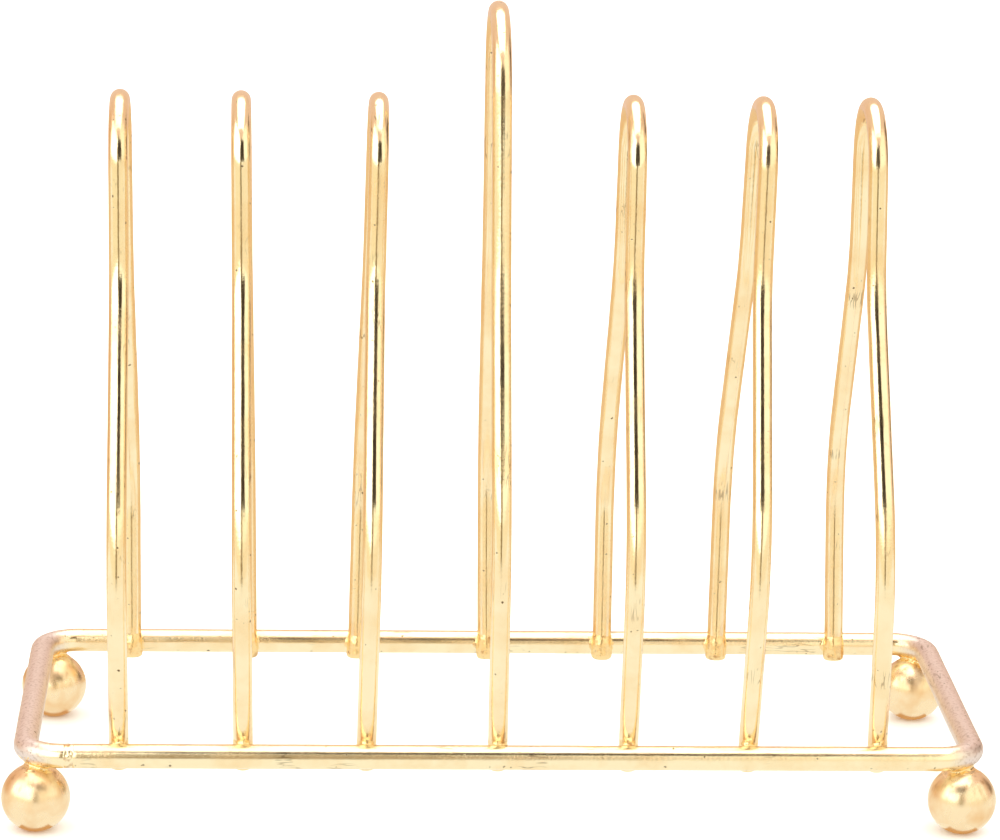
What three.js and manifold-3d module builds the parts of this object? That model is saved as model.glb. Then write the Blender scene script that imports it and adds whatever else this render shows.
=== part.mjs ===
// Wire toast rack: a bent base frame on four ball feet carries seven bent hoops.
// The middle hoop is taller and is the carrying handle. Every joint is brazed.
// Millimetres, +Z up. The origin is on the table, below the middle of the frame.
import * as THREE from "three";
import { mergeVertices } from "three/addons/utils/BufferGeometryUtils.js";
import Module from "manifold-3d";

// Base frame
const FRAME_LENGTH = 198; // over the wire, along X
const FRAME_DEPTH = 83; // over the wire, along Y
const FRAME_WIRE = 5; // diameter
const FRAME_BEND = 7.5; // corner radius, to the middle of the wire
const SEAM_GAP = 1.4; // between the two ends of the frame's wire
const SEAM_WELD = 0.8; // length of the weld in that gap
const SEAM_WELD_RADIUS = 2.7;
const SEAM_PAST_BEND = 1.5; // from the end of the corner's bend to the middle of the gap

// Ball feet
const BALL_DIAMETER = 14;
const BALL_FLAT = 3.6; // diameter of the small flats, underneath to stand on and on top as a seat

// Hoops
const HOOP_WIRE = 4; // diameter
const HOOP_PITCH = 25.7; // between the feet of neighbouring hoops
const TAIL_FRONT = 3.8; // how far a front leg runs on below the middle of the rail
const TAIL_BACK = 2.2;

// A hoop's outline, from its foot upwards. Heights are above the middle of the base frame's wire.
// The leg splays out, a shoulder turns it inwards, a flank runs in to the neck, a reverse bend
// brings it nearly upright again, and a round bow closes the top.
const SLICE_HOOP = {
  splay: 8.5, // degrees outwards
  shoulderStart: 27.5, // height
  shoulderRadius: 45,
  flank: 28.5, // degrees inwards
  neckStart: 85, // height
  neckRadius: 35,
  neck: 4, // degrees inwards
  apex: 127, // height of the middle of the wire
};
const HANDLE_HOOP = {
  splay: 8.5,
  shoulderStart: 30,
  shoulderRadius: 55,
  flank: 20,
  neckStart: 82.5,
  neckRadius: 128,
  neck: 9,
  apex: 146,
};

// The hoops are bent and set by hand, so each strays a little from its even place: foot and top
// are how far it stands off along X below and above, and twist is how far its back foot stands
// further along X than the middle of the two, and its front foot less far.
const HOOPS = [
  { name: "hoop_1", shape: SLICE_HOOP, foot: -0.3, top: -1.4, twist: 0.2 },
  { name: "hoop_2", shape: SLICE_HOOP, foot: -0.9, top: -2.5, twist: 0.2 },
  { name: "hoop_3", shape: SLICE_HOOP, foot: -2.2, top: -0.2, twist: -0.4 },
  { name: "handle_hoop", shape: HANDLE_HOOP, foot: -0.4, top: -1.8, twist: 0.4 },
  { name: "hoop_5", shape: SLICE_HOOP, foot: -0.2, top: 0.5, twist: -0.3 },
  { name: "hoop_6", shape: SLICE_HOOP, foot: -1.1, top: 1.5, twist: 0 },
  { name: "hoop_7", shape: SLICE_HOOP, foot: -0.6, top: -2.1, twist: -0.3 },
];

// Brazing
const BRAZE_GAP = 0.2; // between two wires, or a wire and a ball, that are brazed together
const BRAZE_CLEAR = 0.3; // between the filler metal and what it holds
const BEAD_HALF = { x: 3.3, y: 1.8, z: 3.1 }; // half sizes of the bead at a hoop's leg
const NECK_RADIUS = 3.3; // filler metal between a ball and the frame
const NECK_HALF_HEIGHT = 1.4;

// Facets
const WIRE_SIDES = 12;
const HOOP_SIDES = 10;
const BALL_SIDES = 16;
const BALL_RINGS = 8;
const BEAD_SIDES = 10;
const BEAD_RINGS = 8;
const NECK_SIDES = 16;
const NECK_SEAT_SIDES = 24;
const NECK_SEAT_RINGS = 16;
const BEND_STEPS = { frame: 5, shoulder: 6, neck: 4, bow: 12 };

const railX = (FRAME_LENGTH - FRAME_WIRE) / 2;
const railY = (FRAME_DEPTH - FRAME_WIRE) / 2;
const bendInset = FRAME_BEND * (1 - Math.SQRT1_2); // from the rails to the middle of a corner bend
const ballRadius = BALL_DIAMETER / 2;
const ballX = railX - bendInset;
const ballY = railY - bendInset;
const ballZ = Math.sqrt(ballRadius ** 2 - (BALL_FLAT / 2) ** 2);
const railZ = 2 * ballZ + FRAME_WIRE / 2 + BRAZE_GAP;
const legY = railY - FRAME_WIRE / 2 - HOOP_WIRE / 2 - BRAZE_GAP; // a leg where it crosses its rail
const seamX = -railX + FRAME_BEND + SEAM_PAST_BEND;

const plated = { color: 0xe9c878, roughness: 0.2, metalness: 1 };
const brazed = { color: 0xb98345, roughness: 0.5, metalness: 1 };

const radians = THREE.MathUtils.degToRad;
const wasm = await Module();
wasm.setup();

// A path through stations. Steps of an extrusion fall on the stations, so a straight is one step
// and a bend is as many as it needs.
class StationPath extends THREE.Curve {
  constructor(points, tangents) {
    super();
    this.points = points;
    this.tangents = tangents;
  }

  steps() {
    return this.points.length - 1;
  }

  at(list, t) {
    const place = t * this.steps();
    const index = Math.min(Math.floor(place + 1e-6), this.steps() - 1);
    return list[index].clone().lerp(list[index + 1], place - index);
  }

  getPoint(t) {
    return this.at(this.points, t);
  }

  getPointAt(u) {
    return this.getPoint(u);
  }

  getTangent(t) {
    return this.at(this.tangents, t).normalize();
  }

  getTangentAt(u) {
    return this.getTangent(u);
  }
}

// Collects the stations of a wire that is bent in one plane, as straights and round bends.
class BentWire {
  constructor(a, b, heading) {
    this.a = a; // along the first axis
    this.b = b; // along the second
    this.heading = heading; // radians, from the first axis towards the second
    this.stations = [];
    this.mark();
  }

  mark() {
    this.stations.push({ a: this.a, b: this.b, heading: this.heading });
  }

  straight(length) {
    this.a += Math.cos(this.heading) * length;
    this.b += Math.sin(this.heading) * length;
    this.mark();
    return this;
  }

  // Turns left by angle, or right where it is negative.
  bend(radius, angle, steps) {
    const reach = Math.sign(angle) * radius; // from the wire to the bend's centre, leftwards
    const start = this.heading;
    const centreA = this.a - reach * Math.sin(start);
    const centreB = this.b + reach * Math.cos(start);
    for (let i = 1; i <= steps; i++) {
      this.heading = start + (angle * i) / steps;
      this.a = centreA + reach * Math.sin(this.heading);
      this.b = centreB - reach * Math.cos(this.heading);
      this.mark();
    }
    return this;
  }
}

function roundWire(path, radius, sides) {
  const section = new THREE.Shape();
  for (let i = 0; i < sides; i++) {
    const angle = (2 * Math.PI * (i + 0.5)) / sides;
    const x = radius * Math.cos(angle);
    const y = radius * Math.sin(angle);
    if (i === 0) section.moveTo(x, y);
    else section.lineTo(x, y);
  }
  section.closePath();
  return new THREE.ExtrudeGeometry(section, { steps: path.steps(), extrudePath: path });
}

function solid(geometry) {
  const bare = geometry.clone();
  bare.deleteAttribute("normal");
  bare.deleteAttribute("uv");
  const merged = mergeVertices(bare, 1e-4);
  return new wasm.Manifold(
    new wasm.Mesh({
      numProp: 3,
      vertProperties: merged.attributes.position.array,
      triVerts: new Uint32Array(merged.index.array),
    }),
  );
}

function geometryOf(manifold) {
  const mesh = manifold.getMesh();
  const geometry = new THREE.BufferGeometry();
  geometry.setAttribute("position", new THREE.BufferAttribute(mesh.vertProperties, 3));
  geometry.setIndex(new THREE.BufferAttribute(mesh.triVerts, 1));
  geometry.computeVertexNormals();
  return geometry;
}

// The frame's wire starts and ends at the seam, close to the front left corner.
function framePath() {
  const right = railX - FRAME_BEND - (seamX + SEAM_GAP / 2);
  const along = 2 * (railX - FRAME_BEND);
  const across = 2 * (railY - FRAME_BEND);
  const quarter = Math.PI / 2;
  const wire = new BentWire(seamX + SEAM_GAP / 2, -railY, 0).straight(right);
  for (const side of [across, along, across]) {
    wire.bend(FRAME_BEND, quarter, BEND_STEPS.frame).straight(side);
  }
  wire.bend(FRAME_BEND, quarter, BEND_STEPS.frame).straight(along - right - SEAM_GAP);
  return new StationPath(
    wire.stations.map((s) => new THREE.Vector3(s.a, s.b, 0)),
    wire.stations.map((s) => new THREE.Vector3(Math.cos(s.heading), Math.sin(s.heading), 0)),
  );
}

// A hoop from below the front rail, over the top, to below the back rail. Its first axis runs
// from front to back and its second is the height. It leans and twists along X a little.
function hoopPath(hoop) {
  const shape = hoop.shape;
  const splay = radians(shape.splay);
  const flank = radians(shape.flank);
  const neck = radians(shape.neck);
  const upright = Math.PI / 2;
  const legLength = (tail) => (shape.shoulderStart + tail) / Math.cos(splay);
  const wire = new BentWire(-legY + TAIL_FRONT * Math.tan(splay), -TAIL_FRONT, upright + splay);
  wire.straight(legLength(TAIL_FRONT));
  wire.bend(shape.shoulderRadius, -splay - flank, BEND_STEPS.shoulder);
  const flankLength = (shape.neckStart - wire.b) / Math.cos(flank);
  wire.straight(flankLength);
  wire.bend(shape.neckRadius, flank - neck, BEND_STEPS.neck);
  // The bow is centred on the middle plane, so its radius is the half width over cos(neck), and
  // its top is bowRise times that half width above its start. The neck's length brings it to the apex.
  const bowRise = (1 - Math.sin(neck)) / Math.cos(neck);
  const gain = Math.cos(neck) - Math.sin(neck) * bowRise;
  const neckLength = (shape.apex - wire.b + wire.a * bowRise) / gain;
  wire.straight(neckLength);
  wire.bend(-wire.a / Math.cos(neck), 2 * neck - Math.PI, BEND_STEPS.bow);
  wire.straight(neckLength);
  wire.bend(shape.neckRadius, flank - neck, BEND_STEPS.neck);
  wire.straight(flankLength);
  wire.bend(shape.shoulderRadius, -splay - flank, BEND_STEPS.shoulder);
  wire.straight(legLength(TAIL_BACK));
  const alongX = (depth, height) => {
    const share = height / shape.apex;
    return (hoop.top - hoop.foot) * share + hoop.twist * (depth / legY) * (1 - share);
  };
  return new StationPath(
    wire.stations.map((s) => new THREE.Vector3(alongX(s.a, s.b), s.a, s.b)),
    wire.stations.map((s) => {
      const run = Math.cos(s.heading);
      const rise = Math.sin(s.heading);
      const drift = alongX(s.a + run, s.b + rise) - alongX(s.a, s.b);
      return new THREE.Vector3(drift, run, rise).normalize();
    }),
  );
}

// A ball with a small flat above and below, turned about the vertical through its centre.
function ballFoot() {
  const edge = Math.asin(ballZ / ballRadius);
  const profile = [new THREE.Vector2(0, -ballZ)];
  for (let i = 0; i <= BALL_RINGS; i++) {
    const angle = edge * ((2 * i) / BALL_RINGS - 1);
    profile.push(new THREE.Vector2(Math.cos(angle), Math.sin(angle)).multiplyScalar(ballRadius));
  }
  profile.push(new THREE.Vector2(0, ballZ));
  return new THREE.LatheGeometry(profile, BALL_SIDES).rotateX(Math.PI / 2);
}

const rack = new THREE.Group();
const wirework = new THREE.Group(); // its origin is at the height of the middle of the rails
wirework.position.z = railZ;
rack.add(wirework);

function addPiece(parent, name, geometry, finish, x = 0, y = 0, z = 0) {
  const piece = new THREE.Mesh(geometry, new THREE.MeshStandardMaterial(finish));
  piece.name = name;
  piece.position.set(x, y, z);
  parent.add(piece);
}

const frameRoute = framePath();
addPiece(wirework, "base_frame", roundWire(frameRoute, FRAME_WIRE / 2, WIRE_SIDES), plated);
const seam = new THREE.CylinderGeometry(SEAM_WELD_RADIUS, SEAM_WELD_RADIUS, SEAM_WELD, WIRE_SIDES);
addPiece(wirework, "frame_seam_weld", seam.rotateZ(Math.PI / 2), brazed, seamX, -railY, 0);

// What the filler metal keeps clear of.
const roundFrame = solid(roundWire(frameRoute, FRAME_WIRE / 2 + BRAZE_CLEAR, WIRE_SIDES));

HOOPS.forEach((hoop, index) => {
  const x = (index - (HOOPS.length - 1) / 2) * HOOP_PITCH + hoop.foot;
  const route = hoopPath(hoop);
  addPiece(wirework, hoop.name, roundWire(route, HOOP_WIRE / 2, HOOP_SIDES), plated, x, 0, 0);
  const clearHoop = roundWire(route, HOOP_WIRE / 2 + BRAZE_CLEAR, HOOP_SIDES);
  const roundHoop = solid(clearHoop.translate(x, 0, 0));
  for (const [place, side] of [["front", -1], ["back", 1]]) {
    const blob = new THREE.SphereGeometry(1, BEAD_SIDES, BEAD_RINGS);
    blob.scale(BEAD_HALF.x, BEAD_HALF.y, BEAD_HALF.z);
    blob.translate(x + side * hoop.twist, side * (legY + (HOOP_WIRE + BRAZE_GAP) / 2), 0);
    const bead = solid(blob).subtract(roundFrame).subtract(roundHoop);
    addPiece(wirework, `braze_${hoop.name}_${place}`, geometryOf(bead), brazed);
  }
});

const foot = ballFoot();
for (const [end, alongX] of [["left", -1], ["right", 1]]) {
  for (const [place, alongY] of [["front", -1], ["back", 1]]) {
    const x = alongX * ballX;
    const y = alongY * ballY;
    addPiece(rack, `ball_foot_${place}_${end}`, foot, plated, x, y, ballZ);
    const plug = new THREE.CylinderGeometry(NECK_RADIUS, NECK_RADIUS, 2 * NECK_HALF_HEIGHT, NECK_SIDES);
    plug.rotateX(Math.PI / 2).translate(x, y, -(FRAME_WIRE + BRAZE_GAP) / 2);
    const seat = [ballRadius + BRAZE_CLEAR, NECK_SEAT_SIDES, NECK_SEAT_RINGS];
    const roundBall = new THREE.SphereGeometry(...seat);
    roundBall.translate(x, y, ballZ - railZ);
    const neck = solid(plug).subtract(roundFrame).subtract(solid(roundBall));
    addPiece(wirework, `braze_foot_${place}_${end}`, geometryOf(neck), brazed);
  }
}

export default rack;
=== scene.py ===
# Wire toast rack: seven gold-plated hoops brazed inside a bent frame that stands on four balls.
import bpy
import bmesh
import math
from mathutils import Matrix, Vector, noise


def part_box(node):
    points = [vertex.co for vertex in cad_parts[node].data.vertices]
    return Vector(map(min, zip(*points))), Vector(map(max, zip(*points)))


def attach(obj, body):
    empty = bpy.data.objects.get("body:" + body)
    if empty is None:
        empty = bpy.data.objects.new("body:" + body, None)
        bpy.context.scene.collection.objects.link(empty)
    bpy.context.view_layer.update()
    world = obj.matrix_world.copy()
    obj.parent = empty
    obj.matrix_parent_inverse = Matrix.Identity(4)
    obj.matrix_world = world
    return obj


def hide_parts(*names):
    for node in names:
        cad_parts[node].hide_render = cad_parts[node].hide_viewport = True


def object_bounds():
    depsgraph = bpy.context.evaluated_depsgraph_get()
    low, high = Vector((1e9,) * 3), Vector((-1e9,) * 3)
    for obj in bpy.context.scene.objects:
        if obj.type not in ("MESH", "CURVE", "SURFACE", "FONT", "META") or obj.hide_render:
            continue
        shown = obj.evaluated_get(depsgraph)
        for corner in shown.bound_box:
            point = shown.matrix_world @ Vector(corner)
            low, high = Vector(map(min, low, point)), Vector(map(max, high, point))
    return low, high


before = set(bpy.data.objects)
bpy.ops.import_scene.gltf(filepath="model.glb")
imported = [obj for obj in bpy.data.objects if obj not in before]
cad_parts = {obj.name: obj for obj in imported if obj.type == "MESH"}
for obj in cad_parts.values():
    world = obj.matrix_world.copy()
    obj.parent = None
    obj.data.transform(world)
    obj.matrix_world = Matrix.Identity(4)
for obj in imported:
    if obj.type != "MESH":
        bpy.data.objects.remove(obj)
cadLow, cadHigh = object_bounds()
scene = bpy.context.scene
mm = 0.001


# adds a node, gives its settings, and fills each input with a value, a socket or a node's first output
def addNode(tree, kind, inputs=None, **settings):
    node = tree.nodes.new(kind)
    for name, value in settings.items():
        setattr(node, name, value)
    for key, given in (inputs or {}).items():
        if isinstance(given, bpy.types.Node):
            given = given.outputs[0]
        if isinstance(given, bpy.types.NodeSocket):
            tree.links.new(given, node.inputs[key])
        else:
            node.inputs[key].default_value = given
    return node


# "#rrggbb" in sRGB to linear red, green, blue and alpha
def linearColour(code):
    shares = [int(code[i:i + 2], 16) / 255 for i in (1, 3, 5)]
    return [s / 12.92 if s <= 0.04045 else ((s + 0.055) / 1.055) ** 2.4 for s in shares] + [1.0]


# a geometry tree with these named inputs, and the outputs of its input node
def newTree(name, inputs):
    tree = bpy.data.node_groups.new(name, "GeometryNodeTree")
    for label, kind in inputs.items():
        tree.interface.new_socket(label, in_out="INPUT", socket_type="NodeSocket" + kind)
    tree.interface.new_socket("Geometry", in_out="OUTPUT", socket_type="NodeSocketGeometry")
    return tree, tree.nodes.new("NodeGroupInput").outputs


# ends a tree: real geometry, smooth faces, one material
def closeTree(tree, geometry, material):
    real = addNode(tree, "GeometryNodeRealizeInstances", {0: geometry})
    smooth = addNode(tree, "GeometryNodeSetShadeSmooth", {"Geometry": real})
    painted = addNode(tree, "GeometryNodeSetMaterial", {"Geometry": smooth, "Material": material})
    addNode(tree, "NodeGroupOutput", {0: painted})


# a piece's settings under the names of its tree's inputs: endSteps becomes End Steps
def asInputs(settings):
    spaced = {"".join(" " + c if c.isupper() else c for c in key): key for key in settings}
    return {words.title(): settings[key] for words, key in spaced.items()}


# runs a tree with these sizes and keeps the result as a plain mesh piece at the origin
def growPiece(name, tree, sizes):
    piece = bpy.data.objects.new(name, bpy.data.meshes.new(name + "Start"))
    scene.collection.objects.link(piece)
    shape = piece.modifiers.new("shape", "NODES")
    shape.node_group = tree
    for socket in tree.interface.items_tree:
        if socket.in_out == "INPUT":
            shape[socket.identifier] = sizes[socket.name]
    made = bpy.data.meshes.new_from_object(piece.evaluated_get(bpy.context.evaluated_depsgraph_get()))
    piece.modifiers.remove(shape)
    piece.data = made
    made.name = name
    return piece


def keepPiece(piece, slotName, *nodes):
    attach(piece, "root")
    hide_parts(*nodes)


def startFinish(name):
    material = bpy.data.materials.new(name)
    material.use_nodes = True
    return material, material.node_tree


# gives these nodes to the shader of an all-metal finish
def endFinish(tree, colour, roughness, bump):
    shader = tree.nodes["Principled BSDF"]
    tree.links.new(colour.outputs[2], shader.inputs["Base Color"])
    tree.links.new(roughness.outputs[0], shader.inputs["Roughness"])
    tree.links.new(bump.outputs[0], shader.inputs["Normal"])
    shader.inputs["Metallic"].default_value = 1.0


# Electroplated brass over bright nickel on drawn steel wire. The plate is thin and bright, so it mirrors
# the room in long stripes; drawing left fine lines along the wire, and small pits let the nickel's
# grey and the brown of old lacquer show. Deeper gold lies where the plate is thicker.
def platedWireFinish(name, gloss, heatStrength):
    look = {
        "thinPlate": "#FDF0CD",
        "thickPlate": "#F9E1B4",
        "heatTint": "#F2C48E",
        "worn": "#EBDFDA",  # nickel showing rosy through the thinned plate of the side rails
        "wornGrain": "#B5A094",
        "pitBrown": "#7A6244",
        "wornGloss": 0.42,
        "drawLine": 0.22 * mm,  # real ones are near 0.02 mm, drawn coarser so that they show
        "drawRun": 9 * mm,
        "lineDepth": 0.008 * mm,
        "patch": 14 * mm,
        "patchEdges": (0.42, 0.68),  # noise levels where thicker plate starts and is full
        "sideEdges": (6 * mm, 2 * mm),  # the wear starts and is full this far in from a side rail's middle
        "heatEdges": (6.5 * mm, 1.5 * mm),  # heat tint starts and is full this far from the rails' level
        "pitSpacing": 1.3 * mm,
        "pitSize": 0.2,  # of the spacing
        "pitSwirl": 0.8 * mm,  # pits stray from round by this
        "pitFree": (0.85, 0.3),  # share of the places without a pit, on clean and on worn plate
        "pitEdge": 0.05,  # of the spacing
        "pitDepth": 0.03 * mm,
        "grain": 0.6 * mm,
        "grainEdges": (0.5, 0.66),
        "grainStrength": 0.5,
        "scuffDepth": 0.035 * mm,
        "scuffLeast": 0.35,  # how deep the scuffs are on clean plate, of their depth on worn plate
        "flaw": (1.0 * mm, 7 * mm),  # width and run of the loops that a flaw in the plate draws
        "flawLine": (0.04, 0.015),  # how near its loop a flaw starts and is full, as a noise level
        "flawPatch": 10 * mm,
        "flawEdges": (0.62, 0.68),
        "flawStrength": 0.5,
        "fullWear": 0.7,  # patches times draw lines where the plate is at its dullest
    }
    material, tree = startFinish(name)
    along = addNode(tree, "ShaderNodeAttribute", attribute_name="straightWire").outputs["Vector"]

    stretched = addNode(tree, "ShaderNodeMapping", {
        "Vector": along,
        "Scale": (1 / look["drawLine"], 1 / look["drawLine"], 1 / look["drawRun"]),
    })
    drawLines = addNode(tree, "ShaderNodeTexNoise", {"Vector": stretched, "Scale": 1.0, "Detail": 3.0})
    patches = addNode(tree, "ShaderNodeTexNoise", {
        "Vector": along, "Scale": 1 / look["patch"], "Detail": 4.0, "Roughness": 0.6})
    patchShare = addNode(tree, "ShaderNodeMapRange", {
        0: patches, 1: look["patchEdges"][0], 2: look["patchEdges"][1]})
    grain = addNode(tree, "ShaderNodeTexNoise", {"Vector": along, "Scale": 1 / look["grain"], "Detail": 2.0})
    swirl = (look["pitSwirl"],) * 3
    strayed = addNode(tree, "ShaderNodeVectorMath", {
        0: grain.outputs["Color"], 1: swirl, 2: along}, operation="MULTIPLY_ADD")
    cells = addNode(tree, "ShaderNodeTexVoronoi", {
        "Vector": strayed, "Scale": 1 / look["pitSpacing"], "Randomness": 1.0})
    chance = addNode(tree, "ShaderNodeSeparateColor", {0: cells.outputs["Color"]})
    place = addNode(tree, "ShaderNodeTexCoord").outputs["Object"]
    split = addNode(tree, "ShaderNodeSeparateXYZ", {0: place})
    fromMiddle = addNode(tree, "ShaderNodeMath", {0: split.outputs["X"]}, operation="ABSOLUTE")
    sideShare = addNode(tree, "ShaderNodeMapRange", {
        0: fromMiddle, 1: railX - look["sideEdges"][0], 2: railX - look["sideEdges"][1]})
    crowding = addNode(tree, "ShaderNodeMath", {0: patchShare, 1: sideShare}, operation="MAXIMUM")
    leastChance = addNode(tree, "ShaderNodeMapRange", {
        0: crowding, 1: 0.0, 2: 1.0, 3: look["pitFree"][0], 4: look["pitFree"][1]})
    pitRadius = addNode(tree, "ShaderNodeMapRange", {
        0: chance, 1: leastChance, 2: 1.0, 3: 0.0, 4: look["pitSize"]})
    nearness = addNode(tree, "ShaderNodeMath", {
        0: pitRadius, 1: cells.outputs["Distance"]}, operation="SUBTRACT")
    pits = addNode(tree, "ShaderNodeMapRange", {0: nearness, 1: 0.0, 2: look["pitEdge"]})

    # hairline flaws: the outlines of a stretched noise, in few places
    loopSpace = addNode(tree, "ShaderNodeMapping", {
        "Vector": along, "Scale": (1 / look["flaw"][0], 1 / look["flaw"][0], 1 / look["flaw"][1])})
    loops = addNode(tree, "ShaderNodeTexNoise", {"Vector": loopSpace, "Scale": 1.0, "Detail": 1.0})
    offLoop = addNode(tree, "ShaderNodeMath", {0: loops, 1: 0.5}, operation="SUBTRACT")
    loopDistance = addNode(tree, "ShaderNodeMath", {0: offLoop}, operation="ABSOLUTE")
    hairline = addNode(tree, "ShaderNodeMapRange", {
        0: loopDistance, 1: look["flawLine"][0], 2: look["flawLine"][1]})
    flawPlace = addNode(tree, "ShaderNodeTexNoise", {
        "Vector": along, "Scale": 1 / look["flawPatch"], "Detail": 1.0})
    flawed = addNode(tree, "ShaderNodeMapRange", {
        0: flawPlace, 1: look["flawEdges"][0], 2: look["flawEdges"][1], 3: 0.0, 4: look["flawStrength"]})
    flaws = addNode(tree, "ShaderNodeMath", {0: hairline, 1: flawed}, operation="MULTIPLY")
    marks = addNode(tree, "ShaderNodeMath", {0: flaws, 1: pits}, operation="MAXIMUM")

    offLevel = addNode(tree, "ShaderNodeMath", {0: split.outputs["Z"], 1: railZ}, operation="SUBTRACT")
    distance = addNode(tree, "ShaderNodeMath", {0: offLevel}, operation="ABSOLUTE")
    heated = addNode(tree, "ShaderNodeMapRange", {
        0: distance, 1: look["heatEdges"][0], 2: look["heatEdges"][1]})
    heatPatch = addNode(tree, "ShaderNodeMath", {0: heated, 1: patchShare}, operation="MULTIPLY")
    heatShare = addNode(tree, "ShaderNodeMath", {0: heatPatch, 1: heatStrength}, operation="MULTIPLY")

    plate = addNode(tree, "ShaderNodeMix", {
        0: patchShare, 6: linearColour(look["thinPlate"]), 7: linearColour(look["thickPlate"]),
    }, data_type="RGBA")
    tinted = addNode(tree, "ShaderNodeMix", {
        0: heatShare, 6: plate.outputs[2], 7: linearColour(look["heatTint"])}, data_type="RGBA")
    grainShare = addNode(tree, "ShaderNodeMapRange", {
        0: grain, 1: look["grainEdges"][0], 2: look["grainEdges"][1], 3: 0.0, 4: look["grainStrength"]})
    rubbed = addNode(tree, "ShaderNodeMix", {
        0: grainShare, 6: linearColour(look["worn"]), 7: linearColour(look["wornGrain"])}, data_type="RGBA")
    worn = addNode(tree, "ShaderNodeMix", {
        0: sideShare, 6: tinted.outputs[2], 7: rubbed.outputs[2]}, data_type="RGBA")
    pitted = addNode(tree, "ShaderNodeMix", {
        0: marks, 6: worn.outputs[2], 7: linearColour(look["pitBrown"])}, data_type="RGBA")

    wear = addNode(tree, "ShaderNodeMath", {0: patchShare, 1: drawLines}, operation="MULTIPLY")
    dulling = addNode(tree, "ShaderNodeMapRange", {
        0: wear, 1: 0.0, 2: look["fullWear"], 3: gloss[0], 4: gloss[1]})
    dulled = addNode(tree, "ShaderNodeMix", {
        0: sideShare, 2: dulling, 3: look["wornGloss"]}, data_type="FLOAT")
    lineBump = addNode(tree, "ShaderNodeBump", {
        "Height": drawLines, "Distance": look["lineDepth"]})
    scuffShare = addNode(tree, "ShaderNodeMapRange", {
        0: crowding, 1: 0.0, 2: 1.0, 3: look["scuffLeast"], 4: 1.0})
    scuffs = addNode(tree, "ShaderNodeMath", {0: grain, 1: scuffShare}, operation="MULTIPLY")
    scuffBump = addNode(tree, "ShaderNodeBump", {
        "Height": scuffs, "Distance": look["scuffDepth"], "Normal": lineBump})
    pitBump = addNode(tree, "ShaderNodeBump", {
        "Height": pits, "Distance": look["pitDepth"], "Normal": scuffBump}, invert=True)
    endFinish(tree, pitted, dulled, pitBump)
    return material


# Electroplated brass on a turned steel ball, polished before plating. It mirrors the whole room, with
# faint turning rings. Brown streaks near its top are painted reflection of the dark brazed neck above, drawn
# like flux run down.
def platedBallFinish(name, ballTop):
    look = {
        "plate": "#FAE6C2",
        "deepPlate": "#EFCA98",
        # painted reflection: the brown of the dark neck and wires above, as seen in the ball's top
        "neckReflectionBrown": "#A67C44",
        "gloss": (0.27, 0.38),
        "patch": 6 * mm,
        "patchEdges": (0.45, 0.7),
        "streak": (1.3 * mm, 7 * mm),  # width and length
        "streakEdges": (0.5, 0.72),
        "streakStrength": 0.8,
        "streakRun": 6 * mm,  # how far down the ball the streaks reach
        "dent": 0.05 * mm,
    }
    material, tree = startFinish(name)
    place = addNode(tree, "ShaderNodeTexCoord").outputs["Object"]
    patches = addNode(tree, "ShaderNodeTexNoise", {
        "Vector": place, "Scale": 1 / look["patch"], "Detail": 4.0})
    patchShare = addNode(tree, "ShaderNodeMapRange", {
        0: patches, 1: look["patchEdges"][0], 2: look["patchEdges"][1]})
    stretched = addNode(tree, "ShaderNodeMapping", {
        "Vector": place, "Scale": (1 / look["streak"][0], 1 / look["streak"][0], 1 / look["streak"][1])})
    streaks = addNode(tree, "ShaderNodeTexNoise", {"Vector": stretched, "Scale": 1.0, "Detail": 3.0})
    streakShare = addNode(tree, "ShaderNodeMapRange", {
        0: streaks, 1: look["streakEdges"][0], 2: look["streakEdges"][1], 3: 0.0, 4: look["streakStrength"]})
    height = addNode(tree, "ShaderNodeSeparateXYZ", {0: place}).outputs["Z"]
    highUp = addNode(tree, "ShaderNodeMapRange", {0: height, 1: ballTop - look["streakRun"], 2: ballTop})
    # painted reflection: brown streaks on the ball's top stand in for the dark brazed neck above
    paintedReflectionShare = addNode(tree, "ShaderNodeMath", {0: streakShare, 1: highUp}, operation="MULTIPLY")
    plate = addNode(tree, "ShaderNodeMix", {
        0: patchShare, 6: linearColour(look["plate"]), 7: linearColour(look["deepPlate"])}, data_type="RGBA")
    reflectionStreaked = addNode(tree, "ShaderNodeMix", {
        0: paintedReflectionShare, 6: plate.outputs[2], 7: linearColour(look["neckReflectionBrown"])}, data_type="RGBA")
    gloss = addNode(tree, "ShaderNodeMapRange", {
        0: patchShare, 1: 0.0, 2: 1.0, 3: look["gloss"][0], 4: look["gloss"][1]})
    dents = addNode(tree, "ShaderNodeBump", {"Height": patches, "Distance": look["dent"]})
    endFinish(tree, reflectionStreaked, gloss, dents)
    return material


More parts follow.
